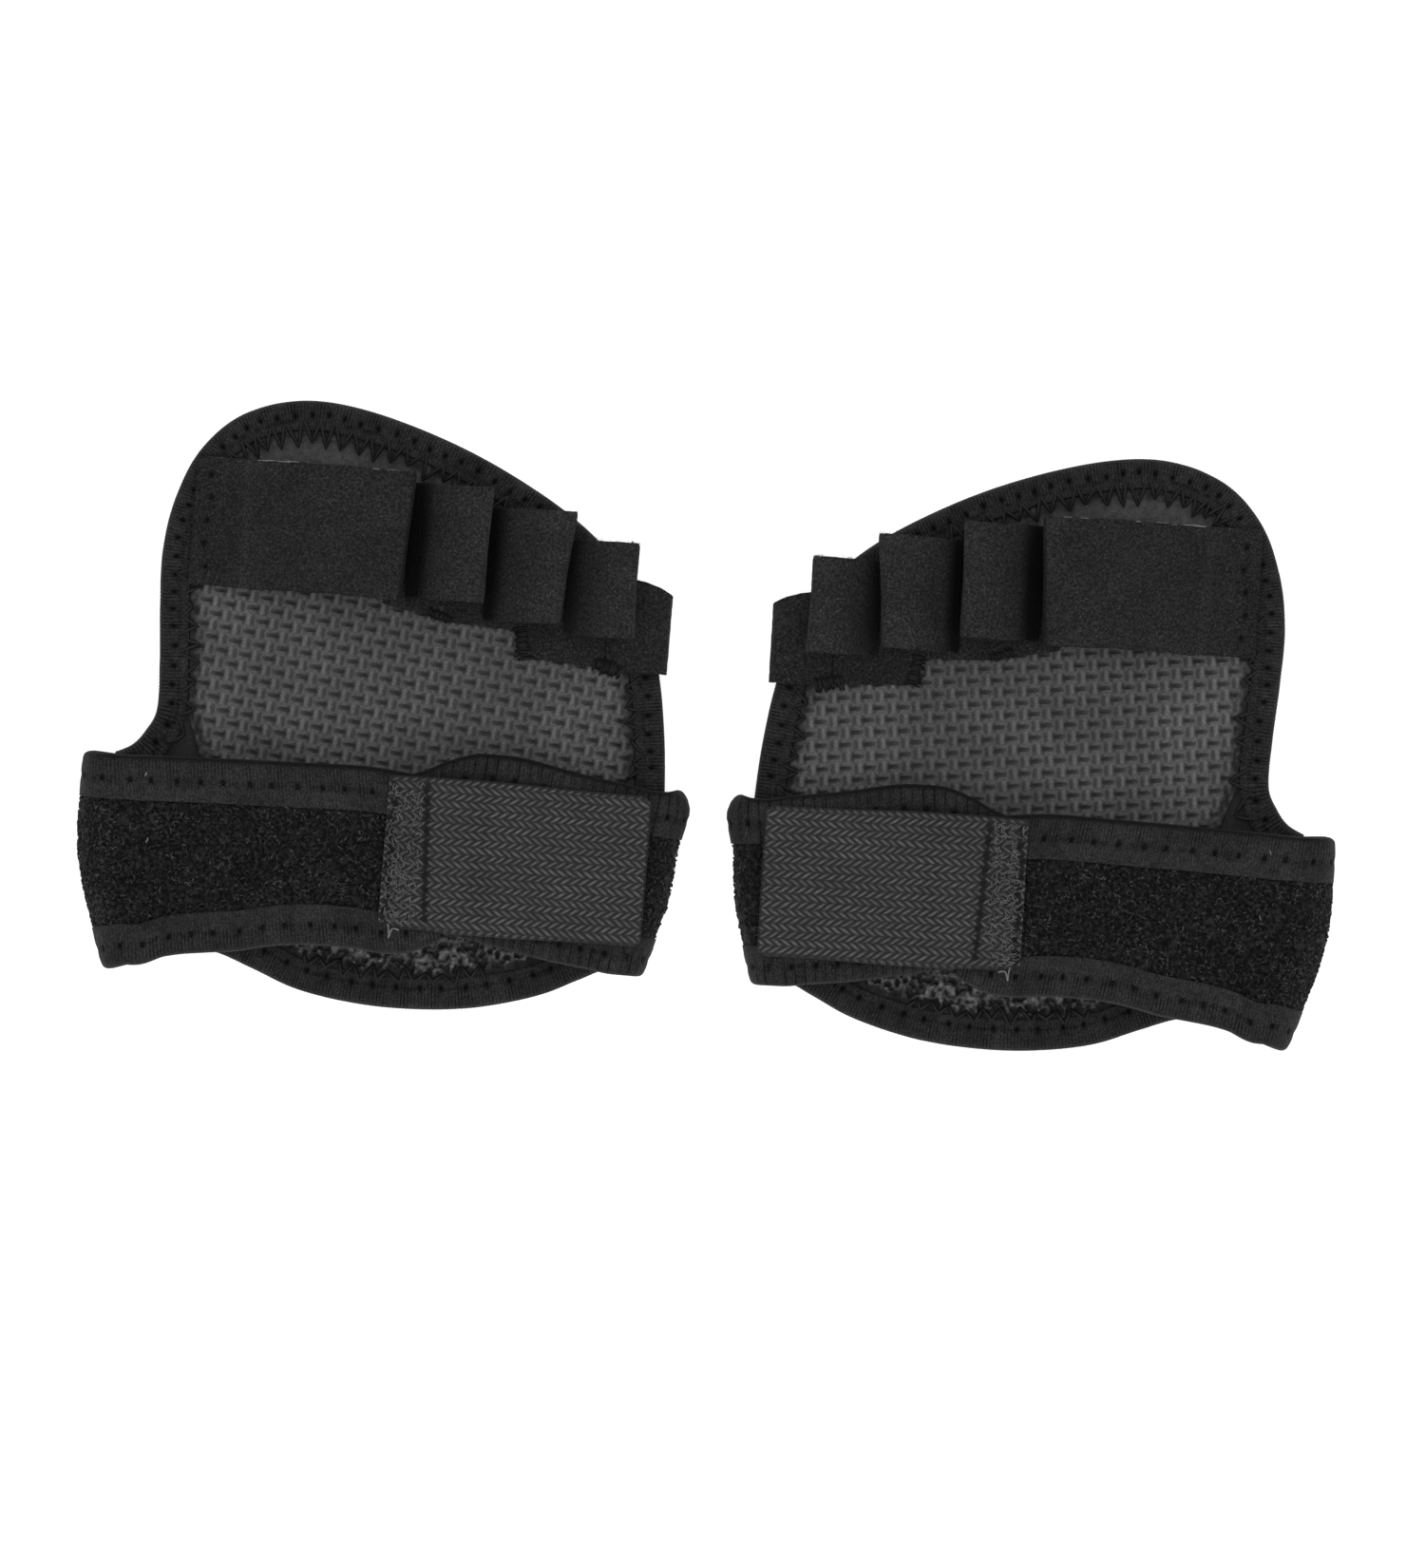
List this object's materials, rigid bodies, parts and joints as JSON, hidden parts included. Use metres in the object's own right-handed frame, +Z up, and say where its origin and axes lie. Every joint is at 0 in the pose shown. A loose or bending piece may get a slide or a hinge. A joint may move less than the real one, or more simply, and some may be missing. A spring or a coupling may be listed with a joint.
{
  "type": "hand grips",
  "caption": "Pair of palm grips for lifting and bar work: embossed neoprene palm pad, elastic finger loops, folded wrist wrap with hook closure tab.",
  "frame": {"origin": "bottom centre of the pair's bounding box, on the surface that the pads lie on", "axes": "+X across the pair from the right-hand grip to the left-hand grip, +Y towards the fingers, +Z up, out of the inner faces of the palms"},
  "size_m": [0.2528, 0.1306, 0.0222],
  "materials": {
    "neoprene": "soft matt foam rubber sheet",
    "embossed_rubber": "matt, embossed in a basket weave",
    "binding_tape": "finely ribbed knitted tape",
    "loop_pile": "brushed loop pile",
    "finger_elastic": "soft brushed elastic",
    "woven_elastic": "herringbone woven elastic",
    "hook_tape": "moulded hooks",
    "thread": "twisted polyester thread"
  },
  "bodies": {
    "right_pad": {"right_palm_core": "neoprene", "right_palm_face": "embossed_rubber", "right_grip_patch": "embossed_rubber", "right_pad_binding": "binding_tape", "right_heel_binding": "binding_tape", "right_loop_base_strip": "finger_elastic", "right_loop_strip_tail": "finger_elastic", "right_index_bartack": "thread", "right_ring_bartack": "thread", "right_little_bartack": "thread", "right_thumb_fold": "neoprene", "right_little_fold": "neoprene"},
    "right_finger_loops": {"right_index_loop": "finger_elastic", "right_middle_loop": "finger_elastic", "right_ring_loop": "finger_elastic", "right_little_loop": "finger_elastic"},
    "right_thumb_wrap": {"right_thumb_wrap_core": "neoprene", "right_thumb_wrap_pile": "loop_pile", "right_thumb_wrap_top_binding": "binding_tape", "right_thumb_wrap_bottom_binding": "binding_tape", "right_tab_root": "woven_elastic", "right_tab_stitching": "thread"},
    "right_tab": {"right_closure_tab": "woven_elastic", "right_hook_patch": "hook_tape"},
    "right_little_wrap": {"right_little_wrap_core": "neoprene", "right_little_wrap_pile": "loop_pile", "right_little_wrap_top_binding": "binding_tape", "right_little_wrap_bottom_binding": "binding_tape"},
    "left_pad": {"left_palm_core": "neoprene", "left_palm_face": "embossed_rubber", "left_grip_patch": "embossed_rubber", "left_pad_binding": "binding_tape", "left_heel_binding": "binding_tape", "left_loop_base_strip": "finger_elastic", "left_loop_strip_tail": "finger_elastic", "left_index_bartack": "thread", "left_ring_bartack": "thread", "left_little_bartack": "thread", "left_thumb_fold": "neoprene", "left_little_fold": "neoprene"},
    "left_finger_loops": {"left_index_loop": "finger_elastic", "left_middle_loop": "finger_elastic", "left_ring_loop": "finger_elastic", "left_little_loop": "finger_elastic"},
    "left_thumb_wrap": {"left_thumb_wrap_core": "neoprene", "left_thumb_wrap_pile": "loop_pile", "left_thumb_wrap_top_binding": "binding_tape", "left_thumb_wrap_bottom_binding": "binding_tape", "left_tab_root": "woven_elastic", "left_tab_stitching": "thread"},
    "left_tab": {"left_closure_tab": "woven_elastic", "left_hook_patch": "hook_tape"},
    "left_little_wrap": {"left_little_wrap_core": "neoprene", "left_little_wrap_pile": "loop_pile", "left_little_wrap_top_binding": "binding_tape", "left_little_wrap_bottom_binding": "binding_tape"}
  },
  "joints": [
    {"name": "right_thumb_wrap_open", "type": "hinge", "parent": "right_pad", "child": "right_thumb_wrap", "pos_m": [-0.11694, -0.02669, 0.0083], "axis": [0.0576, -0.9983, 0], "range_deg": [0, 160], "deforming": ["right_thumb_fold"]},
    {"name": "right_little_wrap_open", "type": "hinge", "parent": "right_pad", "child": "right_little_wrap", "pos_m": [-0.01364, -0.03149, 0.0077], "axis": [0.2353, 0.9719, 0], "range_deg": [0, 104], "deforming": ["right_little_fold"]},
    {"name": "right_tab_peel", "type": "hinge", "parent": "right_thumb_wrap", "child": "right_tab", "pos_m": [-0.05607, -0.02577, 0.0214], "axis": [-0.0802, -0.9968, 0], "range_deg": [0, 45]},
    {"name": "right_loops_stretch", "type": "slide", "parent": "right_pad", "child": "right_finger_loops", "axis": [0, 0, 1], "range_m": [0, 0.005], "stiffness_N_per_m": 60},
    {"name": "left_thumb_wrap_open", "type": "hinge", "parent": "left_pad", "child": "left_thumb_wrap", "pos_m": [0.11503, -0.04292, 0.0083], "axis": [0.1959, 0.9806, 0], "range_deg": [0, 160], "deforming": ["left_thumb_fold"]},
    {"name": "left_little_wrap_open", "type": "hinge", "parent": "left_pad", "child": "left_little_wrap", "pos_m": [0.01206, -0.0333, 0.0077], "axis": [0.0978, -0.9952, 0], "range_deg": [0, 104], "deforming": ["left_little_fold"]},
    {"name": "left_tab_peel", "type": "hinge", "parent": "left_thumb_wrap", "child": "left_tab", "pos_m": [0.05488, -0.03354, 0.0214], "axis": [0.0593, 0.9982, 0], "range_deg": [0, 45]},
    {"name": "left_loops_stretch", "type": "slide", "parent": "left_pad", "child": "left_finger_loops", "axis": [0, 0, 1], "range_m": [0, 0.005], "stiffness_N_per_m": 60},
    {"name": "pair_spread", "type": "slide", "parent": "right_pad", "child": "left_pad", "axis": [1, 0, 0], "range_m": [0, 0.1]}
  ],
  "couplings": [
    {"joint": "right_little_wrap_open", "follows": "right_thumb_wrap_open", "ratio": 0.65},
    {"joint": "left_little_wrap_open", "follows": "left_thumb_wrap_open", "ratio": 0.65}
  ]
}
